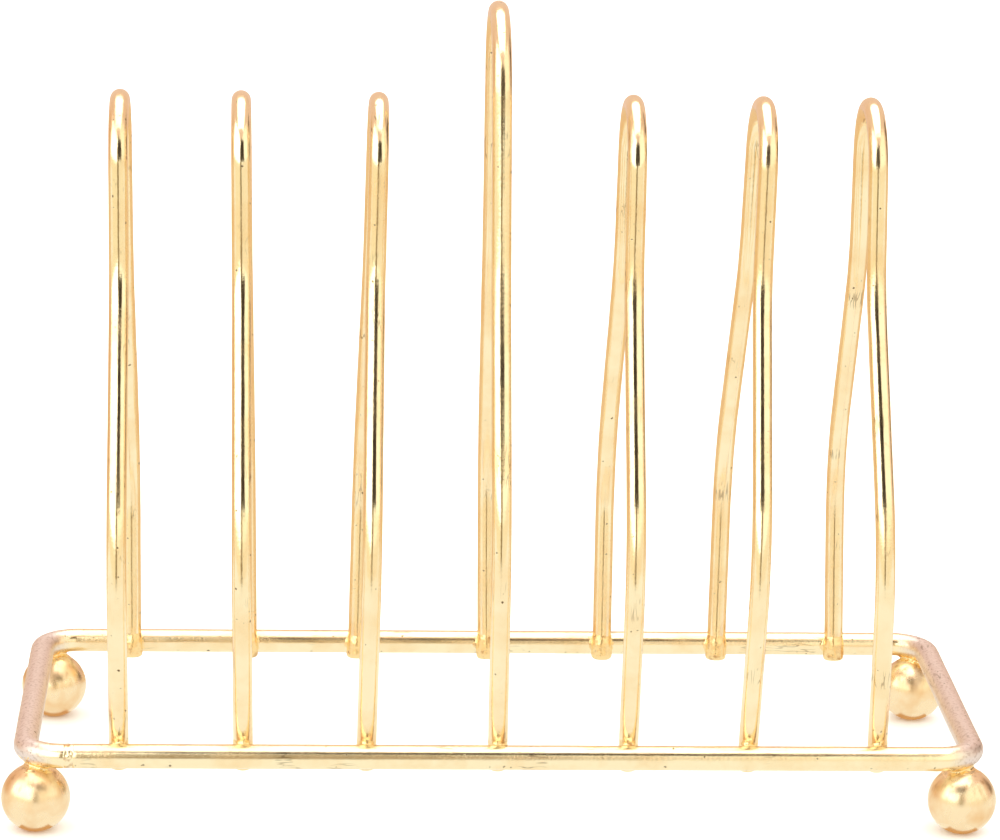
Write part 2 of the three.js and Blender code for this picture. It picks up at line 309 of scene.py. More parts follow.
# Brass brazing filler, run in with a flame and plated over as it set: a duller, redder gold with a
# fine orange-peel skin and brown flux in patches. The lower cleanShare is, the more flux was left.
def brazeFillerFinish(name, filler, cleanShare):
    look = {
        "flux": "#BF8A52",
        "gloss": (0.2, 0.45),
        "peel": 0.5 * mm,
        "peelDepth": 0.05 * mm,
        "stain": 1.6 * mm,
        "stainSoft": 0.18,  # noise level from no stain to a full one
    }
    material, tree = startFinish(name)
    place = addNode(tree, "ShaderNodeTexCoord").outputs["Object"]
    peel = addNode(tree, "ShaderNodeTexNoise", {"Vector": place, "Scale": 1 / look["peel"], "Detail": 3.0})
    stain = addNode(tree, "ShaderNodeTexNoise", {"Vector": place, "Scale": 1 / look["stain"], "Detail": 4.0})
    stainShare = addNode(tree, "ShaderNodeMapRange", {
        0: stain, 1: cleanShare, 2: cleanShare + look["stainSoft"]})
    colour = addNode(tree, "ShaderNodeMix", {
        0: stainShare, 6: linearColour(filler), 7: linearColour(look["flux"])}, data_type="RGBA")
    gloss = addNode(tree, "ShaderNodeMapRange", {
        0: stainShare, 1: 0.0, 2: 1.0, 3: look["gloss"][0], 4: look["gloss"][1]})
    skin = addNode(tree, "ShaderNodeBump", {"Height": peel, "Distance": look["peelDepth"]})
    endFinish(tree, colour, gloss, skin)
    return material


# Sizes of the wire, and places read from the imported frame
wires = {"frameWire": 5 * mm, "hoopWire": 4 * mm, "cadSides": 12, "gap": 0.2 * mm}
frameLow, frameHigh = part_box("base_frame")
facet = wires["frameWire"] / 2 * math.cos(math.pi / wires["cadSides"])  # half the CAD section's height
railX = frameHigh.x - facet
railY = frameHigh.y - facet
railZ = (frameLow.z + frameHigh.z) / 2
legY = railY - (wires["frameWire"] + wires["hoopWire"]) / 2 - wires["gap"]
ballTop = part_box("ball_foot_front_left")[1].z

# the hoops went through the plating bright; the heavier frame wire was buffed less
wirePlate = platedWireFinish("electroplatedBrassWire", (0.14, 0.30), 1.0)
framePlate = platedWireFinish("electroplatedBrassFrame", (0.20, 0.30), 0.0)
ballPlate = platedBallFinish("electroplatedBrassBall", ballTop)
fillerMetal = brazeFillerFinish("platedBrazeFiller", "#FBE0AA", 0.56)
seamMetal = brazeFillerFinish("platedGroundWeld", "#FDF0CD", 0.47)  # ground flush before plating
print("finishes made")


mostBends = 5  # in one wire
seeds = {"frame": 0.5, "hoops": 1.0, "legs": 10.0, "balls": 20.0, "weld": 40.0}  # where each noise starts


# A wire bent in one plane. Its heading starts at one angle and turns evenly through each bend, and
# its places are summed from that heading. It can lean and twist out of its plane a little.
def bentWireTree(bendCount):
    inputs = {
        "Wire Diameter": "Float", "Path Length": "Float", "Steps": "Int", "Sides": "Int",
        "Origin": "Vector", "Across": "Vector", "Up": "Vector",
        "Start Across": "Float", "Start Up": "Float", "Start Heading": "Float",
        "Lean": "Float", "Lean Height": "Float", "Twist": "Float", "Twist Depth": "Float",
        "End Rounding": "Float", "End Steps": "Int",
        "Waviness": "Float", "Wave Length": "Float", "Seed": "Float", "Material": "Material",
    }
    for n in range(1, bendCount + 1):
        inputs.update({f"Bend {n} Starts": "Float", f"Bend {n} Length": "Float", f"Bend {n} Turn": "Float"})
    tree, given = newTree("bentWire", inputs)
    index = addNode(tree, "GeometryNodeInputIndex").outputs[0]
    bareSteps = addNode(tree, "ShaderNodeMath", {0: given["End Steps"], 1: 2.0}, operation="MULTIPLY")
    bodySteps = addNode(tree, "ShaderNodeMath", {0: given["Steps"], 1: bareSteps}, operation="SUBTRACT")
    bareLength = addNode(tree, "ShaderNodeMath", {0: given["End Rounding"], 1: 2.0}, operation="MULTIPLY")
    bodyLength = addNode(tree, "ShaderNodeMath", {
        0: given["Path Length"], 1: bareLength}, operation="SUBTRACT")
    bodyStep = addNode(tree, "ShaderNodeMath", {0: bodyLength, 1: bodySteps}, operation="DIVIDE")
    halfSteps = addNode(tree, "ShaderNodeMath", {0: given["Steps"], 1: 2.0}, operation="DIVIDE")

    # how far along the wire a ring is, with the rings closing up over the rounded ends
    def ringPlace(ring):
        fromFarEnd = addNode(tree, "ShaderNodeMath", {0: given["Steps"], 1: ring}, operation="SUBTRACT")
        fromEnd = addNode(tree, "ShaderNodeMath", {0: ring, 1: fromFarEnd}, operation="MINIMUM")
        share = addNode(tree, "ShaderNodeMath", {0: fromEnd, 1: given["End Steps"]}, operation="DIVIDE")
        capped = addNode(tree, "ShaderNodeMath", {0: share, 1: 1.0}, operation="MINIMUM")
        quarter = addNode(tree, "ShaderNodeMath", {0: capped, 1: math.pi / 2}, operation="MULTIPLY")
        fall = addNode(tree, "ShaderNodeMath", {0: quarter}, operation="COSINE")
        rest = addNode(tree, "ShaderNodeMath", {0: 1.0, 1: fall}, operation="SUBTRACT")
        inEnd = addNode(tree, "ShaderNodeMath", {0: rest, 1: given["End Rounding"]}, operation="MULTIPLY")
        past = addNode(tree, "ShaderNodeMath", {0: fromEnd, 1: given["End Steps"]}, operation="SUBTRACT")
        pastEnd = addNode(tree, "ShaderNodeMath", {0: past, 1: 0.0}, operation="MAXIMUM")
        reach = addNode(tree, "ShaderNodeMath", {0: pastEnd, 1: bodyStep, 2: inEnd}, operation="MULTIPLY_ADD")
        double = addNode(tree, "ShaderNodeMath", {
            0: reach, 1: -2.0, 2: given["Path Length"]}, operation="MULTIPLY_ADD")
        later = addNode(tree, "ShaderNodeMath", {0: ring, 1: halfSteps}, operation="GREATER_THAN")
        place = addNode(tree, "ShaderNodeMath", {0: later, 1: double, 2: reach}, operation="MULTIPLY_ADD")
        return place, quarter

    here, quarter = ringPlace(index)
    nextIndex = addNode(tree, "ShaderNodeMath", {0: index, 1: 1.0}, operation="ADD")
    there = ringPlace(nextIndex)[0]
    step = addNode(tree, "ShaderNodeMath", {0: there, 1: here}, operation="SUBTRACT")
    both = addNode(tree, "ShaderNodeMath", {0: there, 1: here}, operation="ADD")
    middle = addNode(tree, "ShaderNodeMath", {0: both, 1: 0.5}, operation="MULTIPLY")
    heading = given["Start Heading"]
    for n in range(1, bendCount + 1):
        bendEnd = addNode(tree, "ShaderNodeMath", {
            0: given[f"Bend {n} Starts"], 1: given[f"Bend {n} Length"]}, operation="ADD")
        turned = addNode(tree, "ShaderNodeMapRange", {
            0: middle, 1: given[f"Bend {n} Starts"], 2: bendEnd, 3: 0.0, 4: given[f"Bend {n} Turn"]})
        heading = addNode(tree, "ShaderNodeMath", {0: heading, 1: turned}, operation="ADD").outputs[0]
    run = addNode(tree, "ShaderNodeMath", {0: heading}, operation="COSINE")
    rise = addNode(tree, "ShaderNodeMath", {0: heading}, operation="SINE")
    stepOver = addNode(tree, "ShaderNodeMath", {0: run, 1: step}, operation="MULTIPLY")
    stepUp = addNode(tree, "ShaderNodeMath", {0: rise, 1: step}, operation="MULTIPLY")
    summedOver = addNode(tree, "GeometryNodeAccumulateField", {0: stepOver}).outputs["Trailing"]
    summedUp = addNode(tree, "GeometryNodeAccumulateField", {0: stepUp}).outputs["Trailing"]
    across = addNode(tree, "ShaderNodeMath", {0: summedOver, 1: given["Start Across"]}, operation="ADD")
    up = addNode(tree, "ShaderNodeMath", {0: summedUp, 1: given["Start Up"]}, operation="ADD")

    share = addNode(tree, "ShaderNodeMath", {0: up, 1: given["Lean Height"]}, operation="DIVIDE")
    leaning = addNode(tree, "ShaderNodeMath", {0: share, 1: given["Lean"]}, operation="MULTIPLY")
    below = addNode(tree, "ShaderNodeMath", {0: 1.0, 1: share}, operation="SUBTRACT")
    depth = addNode(tree, "ShaderNodeMath", {0: across, 1: given["Twist Depth"]}, operation="DIVIDE")
    twisting = addNode(tree, "ShaderNodeMath", {0: depth, 1: below}, operation="MULTIPLY")
    aside = addNode(tree, "ShaderNodeMath", {
        0: twisting, 1: given["Twist"], 2: leaning}, operation="MULTIPLY_ADD")
    sideways = addNode(tree, "ShaderNodeVectorMath", {
        0: given["Across"], 1: given["Up"]}, operation="CROSS_PRODUCT")
    place = given["Origin"]
    for axis, length in ((given["Across"], across), (given["Up"], up), (sideways, aside)):
        part = addNode(tree, "ShaderNodeVectorMath", {0: axis, "Scale": length}, operation="SCALE")
        place = addNode(tree, "ShaderNodeVectorMath", {0: place, 1: part}, operation="ADD").outputs[0]

    count = addNode(tree, "ShaderNodeMath", {0: given["Steps"], 1: 1.0}, operation="ADD")
    points = addNode(tree, "GeometryNodeMeshLine", {"Count": count})
    laid = addNode(tree, "GeometryNodeSetPosition", {"Geometry": points, "Position": place})
    line = addNode(tree, "GeometryNodeMeshToCurve", {"Mesh": laid})
    radius = addNode(tree, "ShaderNodeMath", {0: given["Wire Diameter"], 1: 0.5}, operation="MULTIPLY")
    section = addNode(tree, "GeometryNodeCurvePrimitiveCircle", {
        "Resolution": given["Sides"], "Radius": radius})
    full = addNode(tree, "ShaderNodeMath", {0: quarter}, operation="SINE")
    short = addNode(tree, "ShaderNodeMath", {0: 1.0, 1: full}, operation="SUBTRACT")
    cut = addNode(tree, "ShaderNodeMath", {0: given["End Rounding"], 1: radius}, operation="DIVIDE")
    lost = addNode(tree, "ShaderNodeMath", {0: short, 1: cut}, operation="MULTIPLY")
    width = addNode(tree, "ShaderNodeMath", {0: 1.0, 1: lost}, operation="SUBTRACT")
    skin = addNode(tree, "GeometryNodeCurveToMesh", {
        "Curve": line, "Profile Curve": section, "Scale": width, "Fill Caps": True})

    # the wire as it was before bending: round the section in X and Y, and along it in Z
    ringShare = addNode(tree, "ShaderNodeMath", {0: index, 1: given["Sides"]}, operation="DIVIDE")
    ring = addNode(tree, "ShaderNodeMath", {0: ringShare}, operation="FLOOR")
    turnShare = addNode(tree, "ShaderNodeMath", {0: ringShare}, operation="FRACT")
    turn = addNode(tree, "ShaderNodeMath", {0: turnShare, 1: 2 * math.pi}, operation="MULTIPLY")
    cosine = addNode(tree, "ShaderNodeMath", {0: turn}, operation="COSINE")
    sine = addNode(tree, "ShaderNodeMath", {0: turn}, operation="SINE")
    ringStep = addNode(tree, "ShaderNodeMath", {
        0: given["Path Length"], 1: given["Steps"]}, operation="DIVIDE")
    straightX = addNode(tree, "ShaderNodeMath", {0: cosine, 1: radius}, operation="MULTIPLY")
    straightY = addNode(tree, "ShaderNodeMath", {0: sine, 1: radius}, operation="MULTIPLY")
    straightZ = addNode(tree, "ShaderNodeMath", {
        0: ring, 1: ringStep, 2: given["Seed"]}, operation="MULTIPLY_ADD")
    straight = addNode(tree, "ShaderNodeCombineXYZ", {0: straightX, 1: straightY, 2: straightZ})
    stored = addNode(tree, "GeometryNodeStoreNamedAttribute", {
        "Geometry": skin, "Name": "straightWire", "Value": straight,
    }, data_type="FLOAT_VECTOR", domain="POINT")

    # hand bending and buffing leave the surface slightly uneven
    fineness = addNode(tree, "ShaderNodeMath", {0: 1.0, 1: given["Wave Length"]}, operation="DIVIDE")
    wave = addNode(tree, "ShaderNodeTexNoise", {"Vector": straight, "Scale": fineness, "Detail": 1.5})
    level = addNode(tree, "ShaderNodeMath", {0: wave, 1: 0.5}, operation="SUBTRACT")
    lift = addNode(tree, "ShaderNodeMath", {0: level, 1: given["Waviness"]}, operation="MULTIPLY")
    outward = addNode(tree, "GeometryNodeInputNormal").outputs[0]
    push = addNode(tree, "ShaderNodeVectorMath", {0: outward, "Scale": lift}, operation="SCALE")
    uneven = addNode(tree, "GeometryNodeSetPosition", {"Geometry": stored, "Offset": push})
    closeTree(tree, uneven, given["Material"])
    return tree


# the bends of a route as (start, length, turn) inputs, and its whole length
def measureRoute(parts):
    sizes = {}
    travelled = 0.0
    bends = 0
    for part in parts:
        if part[0] == "bend":
            bends += 1
            length = part[1] * abs(part[2])
            sizes[f"Bend {bends} Starts"] = travelled
            sizes[f"Bend {bends} Length"] = length
            sizes[f"Bend {bends} Turn"] = part[2]
        else:
            length = part[1]
        travelled += length
    for n in range(bends + 1, mostBends + 1):
        sizes.update({f"Bend {n} Starts": travelled, f"Bend {n} Length": 1.0, f"Bend {n} Turn": 0.0})
    return sizes, travelled


def afterBend(place, heading, radius, turn):
    reach = math.copysign(radius, turn)
    ended = heading + turn
    across = place[0] + reach * (math.sin(ended) - math.sin(heading))
    up = place[1] + reach * (math.cos(heading) - math.cos(ended))
    return (across, up), ended


wireTree = bentWireTree(mostBends)

# Base frame: 5 mm wire, its ends butted on the front rail close to the left corner
frameSizes = {
    "cornerRadius": 7.5 * mm,
    "seamGap": 1.4 * mm,
    "seamPastBend": 1.5 * mm,
    "steps": 760,
    "sides": 32,
    "endRounding": 0.4 * mm,
    "endSteps": 4,
    "waviness": 0.10 * mm,
    "waveLength": 9 * mm,
}
seamX = -railX + frameSizes["cornerRadius"] + frameSizes["seamPastBend"]
frameStart = seamX + frameSizes["seamGap"] / 2
frameAlong = 2 * (railX - frameSizes["cornerRadius"])
frameAcross = 2 * (railY - frameSizes["cornerRadius"])
firstRun = railX - frameSizes["cornerRadius"] - frameStart
corner = ("bend", frameSizes["cornerRadius"], math.pi / 2)
frameRoute = [
    ("straight", firstRun), corner, ("straight", frameAcross), corner, ("straight", frameAlong),
    corner, ("straight", frameAcross), corner,
    ("straight", frameAlong - firstRun - frameSizes["seamGap"]),
]
frameBends, frameLength = measureRoute(frameRoute)
baseFrame = growPiece("baseFrameWire", wireTree, {
    **asInputs(frameSizes), **frameBends,
    "Wire Diameter": wires["frameWire"], "Path Length": frameLength,
    "Origin": (0.0, 0.0, railZ), "Across": (1.0, 0.0, 0.0), "Up": (0.0, 1.0, 0.0),
    "Start Across": frameStart, "Start Up": -railY, "Start Heading": 0.0,
    "Lean": 0.0, "Lean Height": 1.0, "Twist": 0.0, "Twist Depth": 1.0,
    "Seed": seeds["frame"], "Material": framePlate,
})
keepPiece(baseFrame, "plated_wire", "base_frame")
print("base frame bent:", len(baseFrame.data.polygons), "faces")

# Hoops: 4 mm wire. Heights are above the middle of the base frame's wire, angles in degrees
sliceHoop = {
    "splay": 8.5, "shoulderStart": 27.5 * mm, "shoulderRadius": 45 * mm, "flank": 28.5,
    "neckStart": 85 * mm, "neckRadius": 35 * mm, "neck": 4, "apex": 127 * mm,
}
handleHoop = {
    "splay": 8.5, "shoulderStart": 30 * mm, "shoulderRadius": 55 * mm, "flank": 20,
    "neckStart": 82.5 * mm, "neckRadius": 128 * mm, "neck": 9, "apex": 146 * mm,
}
hoopSizes = {
    "tailFront": 4.1 * mm,
    "tailBack": 2.2 * mm,
    "steps": 560,
    "sides": 28,
    "endRounding": 0.6 * mm,
    "endSteps": 6,
    "waviness": 0.09 * mm,
    "waveLength": 8 * mm,
    "tailRead": 1 * mm,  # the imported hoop's tails are read from this far below its rail's middle
    "topRead": 0.5 * mm,  # and its top within this of the middle
}
hoopShapes = {name: sliceHoop for name in ("hoop_1", "hoop_2", "hoop_3", "hoop_5", "hoop_6", "hoop_7")}
hoopShapes["handle_hoop"] = handleHoop


# a hoop's route from below the front rail, over the top, to below the back rail
def hoopRoute(shape):
    splay, flank, neck = (math.radians(shape[k]) for k in ("splay", "flank", "neck"))
    place = (-legY - shape["shoulderStart"] * math.tan(splay), shape["shoulderStart"])
    heading = math.pi / 2 + splay
    place, heading = afterBend(place, heading, shape["shoulderRadius"], -splay - flank)
    flankLength = (shape["neckStart"] - place[1]) / math.cos(flank)
    place = (place[0] + flankLength * math.sin(flank), shape["neckStart"])
    place, heading = afterBend(place, heading, shape["neckRadius"], flank - neck)
    bowRise = (1 - math.sin(neck)) / math.cos(neck)  # the bow's top above its start, over its half width
    gain = math.cos(neck) - math.sin(neck) * bowRise
    neckLength = (shape["apex"] - place[1] + place[0] * bowRise) / gain
    halfWidth = -place[0] - neckLength * math.sin(neck)
    tails = (hoopSizes["tailFront"], hoopSizes["tailBack"])
    legLength = [(shape["shoulderStart"] + tail) / math.cos(splay) for tail in tails]
    shoulder = ("bend", shape["shoulderRadius"], -splay - flank)
    neckBend = ("bend", shape["neckRadius"], flank - neck)
    bow = ("bend", halfWidth / math.cos(neck), 2 * neck - math.pi)
    flankPart = ("straight", flankLength)
    neckPart = ("straight", neckLength)
    return [
        ("straight", legLength[0]), shoulder, flankPart, neckBend, neckPart, bow,
        neckPart, neckBend, flankPart, shoulder, ("straight", legLength[1]),
    ]


# the middle along X of the part of a node that passes a test
def middleX(node, test):
    places = [v.co.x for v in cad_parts[node].data.vertices if test(v.co)]
    return (min(places) + max(places)) / 2


hoopStands = {}
for number, (name, shape) in enumerate(sorted(hoopShapes.items())):
    tailLevel = railZ - hoopSizes["tailRead"]
    frontX = middleX(name, lambda c: c.y < 0 and c.z < tailLevel)
    backX = middleX(name, lambda c: c.y > 0 and c.z < tailLevel)
    topX = middleX(name, lambda c: abs(c.y) < hoopSizes["topRead"])
    tailShare = -(hoopSizes["tailFront"] + hoopSizes["tailBack"]) / 2 / shape["apex"]
    footX = ((frontX + backX) / 2 - topX * tailShare) / (1 - tailShare)
    stand = {"x": footX, "lean": topX - footX, "twist": (backX - frontX) / 2, "shape": shape}
    hoopStands[name] = stand
    bends, length = measureRoute(hoopRoute(shape))
    hoop = growPiece("bentHoop" + name.replace("hoop", "").replace("_", "").capitalize(), wireTree, {
        **asInputs(hoopSizes), **bends,
        "Wire Diameter": wires["hoopWire"], "Path Length": length,
        "Origin": (footX, 0.0, railZ), "Across": (0.0, 1.0, 0.0), "Up": (0.0, 0.0, 1.0),
        "Start Across": -legY + hoopSizes["tailFront"] * math.tan(math.radians(shape["splay"])),
        "Start Up": -hoopSizes["tailFront"], "Start Heading": math.pi / 2 + math.radians(shape["splay"]),
        "Lean": stand["lean"], "Lean Height": shape["apex"], "Twist": stand["twist"], "Twist Depth": legY,
        "Seed": seeds["hoops"] + number, "Material": wirePlate,
    })
    keepPiece(hoop, "plated_wire", name)
print("hoops bent:", len(hoopStands))


# Shared by all filler metal
melt = {
    "collarLength": 4.4 * mm,  # a collar starts this far from the joint along its wire
    "collarFull": 0.88 * mm,  # and is at its thickest within this
    "endSoft": 1 * mm,
    "reachSoft": 0.3 * mm,
    "room": 1.1,  # half the grid's width over the reach
}


# Filler metal that has run in between two shapes: where their distances blend, it fills the corner.
# Away from the joint it lies just under their skins. distances are functions that each add one shape.
def fillerTree(name, distances):
    inputs = {
        "Centre": "Vector", "Reach": "Float", "Grid": "Int", "Fillet": "Float", "Raise": "Float",
        "Lump": "Float", "Lump Size": "Float", "Seed": "Float", "Material": "Material",
    }
    for distance in distances:
        inputs.update(distance.inputs)
    tree, given = newTree(name, inputs)
    place = addNode(tree, "GeometryNodeInputPosition").outputs[0]
    blended = None
    for distance in distances:
        own = distance(tree, given, place)
        if blended:
            own = addNode(tree, "ShaderNodeMath", {
                0: blended, 1: own, 2: given["Fillet"]}, operation="SMOOTH_MIN")
        blended = own
    fineness = addNode(tree, "ShaderNodeMath", {0: 1.0, 1: given["Lump Size"]}, operation="DIVIDE")
    lumps = addNode(tree, "ShaderNodeTexNoise", {
        "Vector": place, "W": given["Seed"], "Scale": fineness, "Detail": 2.0}, noise_dimensions="4D")
    level = addNode(tree, "ShaderNodeMath", {0: lumps, 1: 0.5}, operation="SUBTRACT")
    lumpy = addNode(tree, "ShaderNodeMath", {
        0: level, 1: given["Lump"], 2: given["Raise"]}, operation="MULTIPLY_ADD")
    filled = addNode(tree, "ShaderNodeMath", {0: blended, 1: lumpy}, operation="SUBTRACT")
    off = addNode(tree, "ShaderNodeVectorMath", {0: place, 1: given["Centre"]}, operation="DISTANCE")
    outside = addNode(tree, "ShaderNodeMath", {
        0: off.outputs["Value"], 1: given["Reach"]}, operation="SUBTRACT")
    ended = addNode(tree, "ShaderNodeMath", {
        0: filled, 1: outside, 2: melt["reachSoft"]}, operation="SMOOTH_MAX")
    density = addNode(tree, "ShaderNodeMath", {0: ended, 1: -1 / mm, 2: 1.0}, operation="MULTIPLY_ADD")
    room = addNode(tree, "ShaderNodeMath", {0: given["Reach"], 1: melt["room"]}, operation="MULTIPLY")
    corner = addNode(tree, "ShaderNodeCombineXYZ", {0: room, 1: room, 2: room})
    low = addNode(tree, "ShaderNodeVectorMath", {0: given["Centre"], 1: corner}, operation="SUBTRACT")
    high = addNode(tree, "ShaderNodeVectorMath", {0: given["Centre"], 1: corner}, operation="ADD")
    cloud = addNode(tree, "GeometryNodeVolumeCube", {
        "Density": density, "Background": 0.0, "Min": low, "Max": high,
        "Resolution X": given["Grid"], "Resolution Y": given["Grid"], "Resolution Z": given["Grid"]})
    skin = addNode(tree, "GeometryNodeVolumeToMesh", {
        "Volume": cloud, "Threshold": 1.0}, resolution_mode="GRID")
    closeTree(tree, skin, given["Material"])
    return tree


# how far a place is from a straight wire through a point, with a collar there and an end below it
def wireDistance(label):
    def distance(tree, given, place):
        off = addNode(tree, "ShaderNodeVectorMath", {
            0: place, 1: given[label + " Point"]}, operation="SUBTRACT")
        crossed = addNode(tree, "ShaderNodeVectorMath", {
            0: off, 1: given[label + " Direction"]}, operation="CROSS_PRODUCT")
        away = addNode(tree, "ShaderNodeVectorMath", {0: crossed}, operation="LENGTH").outputs["Value"]
        along = addNode(tree, "ShaderNodeVectorMath", {
            0: off, 1: given[label + " Direction"]}, operation="DOT_PRODUCT").outputs["Value"]
        offPoint = addNode(tree, "ShaderNodeMath", {0: along}, operation="ABSOLUTE")
        collar = addNode(tree, "ShaderNodeMapRange", {
            0: offPoint, 1: melt["collarLength"], 2: melt["collarFull"], 3: 0.0, 4: given[label + " Collar"],
        }, interpolation_type="SMOOTHSTEP")
        radius = addNode(tree, "ShaderNodeMath", {0: given[label + " Radius"], 1: collar}, operation="ADD")
        side = addNode(tree, "ShaderNodeMath", {0: away, 1: radius}, operation="SUBTRACT")
        past = addNode(tree, "ShaderNodeMath", {0: along, 1: given[label + " End"]}, operation="ADD")
        below = addNode(tree, "ShaderNodeMath", {0: past, 1: -1.0}, operation="MULTIPLY")
        return addNode(tree, "ShaderNodeMath", {
            0: side, 1: below, 2: melt["endSoft"]}, operation="SMOOTH_MAX")
    distance.inputs = {
        label + " Point": "Vector", label + " Direction": "Vector", label + " Radius": "Float",
        label + " Collar": "Float", label + " End": "Float",
    }
    return distance


# how far a place is from a ball
def ballDistance(tree, given, place):
    away = addNode(tree, "ShaderNodeVectorMath", {0: place, 1: given["Ball Point"]}, operation="DISTANCE")
    return addNode(tree, "ShaderNodeMath", {
        0: away.outputs["Value"], 1: given["Ball Radius"]}, operation="SUBTRACT")


# how far a place is from a wire bent round an upright axis
def bendDistance(tree, given, place):
    off = addNode(tree, "ShaderNodeVectorMath", {0: place, 1: given["Bend Point"]}, operation="SUBTRACT")
    level = addNode(tree, "ShaderNodeVectorMath", {0: off, 1: (1.0, 1.0, 0.0)}, operation="MULTIPLY")
    radial = addNode(tree, "ShaderNodeVectorMath", {0: level}, operation="LENGTH").outputs["Value"]
    fromLine = addNode(tree, "ShaderNodeMath", {0: radial, 1: given["Bend Radius"]}, operation="SUBTRACT")
    height = addNode(tree, "ShaderNodeSeparateXYZ", {0: off}).outputs["Z"]
    flat = addNode(tree, "ShaderNodeCombineXYZ", {0: fromLine, 1: 0.0, 2: height})
    away = addNode(tree, "ShaderNodeVectorMath", {0: flat}, operation="LENGTH").outputs["Value"]
    return addNode(tree, "ShaderNodeMath", {0: away, 1: given["Bend Wire Radius"]}, operation="SUBTRACT")


ballDistance.inputs = {"Ball Point": "Vector", "Ball Radius": "Float"}
bendDistance.inputs = {"Bend Point": "Vector", "Bend Radius": "Float", "Bend Wire Radius": "Float"}
legFillerTree = fillerTree("legFiller", [wireDistance("Leg"), wireDistance("Rail")])
neckFillerTree = fillerTree("neckFiller", [ballDistance, bendDistance])
seamFillerTree = fillerTree("seamFiller", [wireDistance("Rail")])

# Filler metal where a leg lies against its rail
legFiller = {
    "fillet": 2.6 * mm,
    "lumpSize": 1.6 * mm,
    "raise": -0.1 * mm,  # away from the joint it lies under the wires' skins
    "grid": 66,
}
legFillerSides = {
    "front": {"reach": 4.6 * mm, "legCollar": 0.1 * mm, "lump": 0.45 * mm, "tail": hoopSizes["tailFront"]},
    # the back joints were flooded, so they stand proud
    "back": {"reach": 5.5 * mm, "legCollar": 0.36 * mm, "lump": 0.25 * mm, "tail": hoopSizes["tailBack"]},
}


# the front rail is on side -1 and the back one on side 1
def railInputs(side):
    return {
        "Rail Point": (0.0, side * railY, railZ), "Rail Direction": (1.0, 0.0, 0.0),
        "Rail Radius": wires["frameWire"] / 2, "Rail Collar": 0.0, "Rail End": railX,
    }


for number, (name, stand) in enumerate(hoopStands.items()):
    for place, side in (("front", -1), ("back", 1)):
        splay = math.radians(stand["shape"]["splay"])
        apex = stand["shape"]["apex"]
        legX = stand["x"] + side * stand["twist"]
        leaning = (stand["lean"] - side * stand["twist"]) / apex
        drift = leaning + side * math.tan(splay) * stand["twist"] / legY
        direction = Vector((drift, side * math.tan(splay), 1)).normalized()
        contactY = side * (legY + (wires["hoopWire"] + wires["gap"]) / 2)
        joint = name.replace("_", " ").title().replace(" ", "") + place.title()
        filler = growPiece("filler" + joint, legFillerTree, {
            **asInputs(legFiller), **asInputs(legFillerSides[place]), **railInputs(side),
            "Centre": (legX, contactY, railZ), "Seed": seeds["legs"] * number + side,
            "Leg Point": (legX, side * legY, railZ), "Leg Direction": direction[:],
            "Leg Radius": wires["hoopWire"] / 2, "Leg End": legFillerSides[place]["tail"] / direction.z,
            "Material": fillerMetal,
        })
        keepPiece(filler, "filler_metal", f"braze_{name}_{place}")
print("legs brazed")

# Ball feet: turned, with a small flat above and below
ball = {
    "diameter": 14 * mm,
    "flat": 3.6 * mm,
    "flatRings": (0.5, 0.9),  # rings on the flat, of its half width
    "sides": 72,
    "rings": 44,
    "dent": 0.05 * mm,
    "dentSize": 5 * mm,
}
neckFiller = {
    "reach": 4.3 * mm,
    "fillet": 2.4 * mm,
    "lump": 0.45 * mm,
    "lumpSize": 1.4 * mm,
    "raise": -0.08 * mm,
    "grid": 64,
}


def turnedBall(name, centre, seed):
    radius = ball["diameter"] / 2
    edge = math.acos(ball["flat"] / 2 / radius)
    profile = [(ball["flat"] / 2 * share, -math.sin(edge) * radius) for share in ball["flatRings"]]
    for i in range(ball["rings"] + 1):
        angle = edge * (2 * i / ball["rings"] - 1)
        profile.append((math.cos(angle) * radius, math.sin(angle) * radius))
    profile += [(across, -up) for across, up in reversed(profile[:len(ball["flatRings"])])]
    shape = bmesh.new()
    loops = []
    for across, up in profile:
        loop = []
        for j in range(ball["sides"]):
            turn = 2 * math.pi * j / ball["sides"]
            spot = Vector((across * math.cos(turn), across * math.sin(turn), up))
            wave = noise.noise(spot / ball["dentSize"] + Vector((seed, 0, 0)))
            inward = ball["dent"] * (1 + wave) / 2  # dents only go inwards
            loop.append(shape.verts.new(centre + spot * (1 - inward / radius)))
        loops.append(loop)
    for lower, upper in zip(loops, loops[1:]):
        for j in range(ball["sides"]):
            k = (j + 1) % ball["sides"]
            shape.faces.new((lower[j], lower[k], upper[k], upper[j]))
    shape.faces.new(reversed(loops[0]))
    shape.faces.new(loops[-1])
    mesh = bpy.data.meshes.new(name)
    shape.to_mesh(mesh)
    shape.free()
    mesh.shade_smooth()
    mesh.materials.append(ballPlate)
    piece = bpy.data.objects.new(name, mesh)
    scene.collection.objects.link(piece)
    return piece


